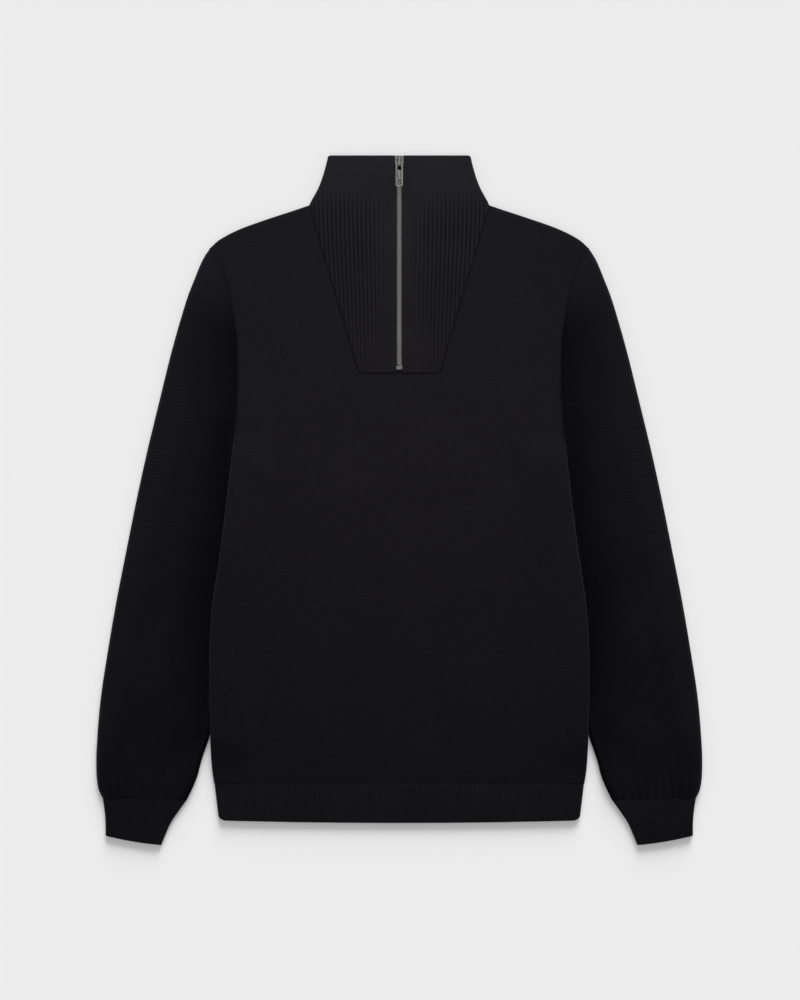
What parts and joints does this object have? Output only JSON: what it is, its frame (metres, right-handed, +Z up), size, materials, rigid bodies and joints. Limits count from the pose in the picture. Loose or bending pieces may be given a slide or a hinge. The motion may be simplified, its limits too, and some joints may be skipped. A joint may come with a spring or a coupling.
{
  "type": "quarter zip sweater",
  "caption": "Knitted sweater laid flat, with a ribbed stand collar and placket, a short zip with a pull tab that swings up, and ribbed cuffs and hem.",
  "frame": {"origin": "on the surface the sweater lies on, under the middle of its whole width and length", "axes": "+X to the wearer's left, +Y up the garment from hem to collar, +Z up, away from the surface, out of the sweater's front"},
  "size_m": [0.681, 0.775, 0.013],
  "materials": {
    "body_knit": "matt black wool knit with a fine raised texture",
    "sleeve_knit": "matt black wool knit with a fine raised texture",
    "rib_knit": "matt black ribbed knit",
    "zip_tape": "matt black woven tape",
    "zip_metal": "polished gunmetal grey zip metal"
  },
  "bodies": {
    "garment": {"front": "body_knit", "back": "body_knit", "collar": "rib_knit", "hem": "rib_knit", "sleeve_left": "sleeve_knit", "sleeve_right": "sleeve_knit", "cuff_left": "rib_knit", "cuff_right": "rib_knit", "zip_tape_left": "zip_tape", "zip_tape_right": "zip_tape", "zip_chain": "zip_metal", "zip_stop": "zip_metal", "zip_slider": "zip_metal"},
    "pull": {"zip_pull": "zip_metal"}
  },
  "joints": [
    {"name": "pull_tab", "type": "hinge", "parent": "garment", "child": "pull", "pos_m": [0, 0.3789, 0.00895], "axis": [-1, 0, 0], "range_deg": [0, 160]}
  ]
}
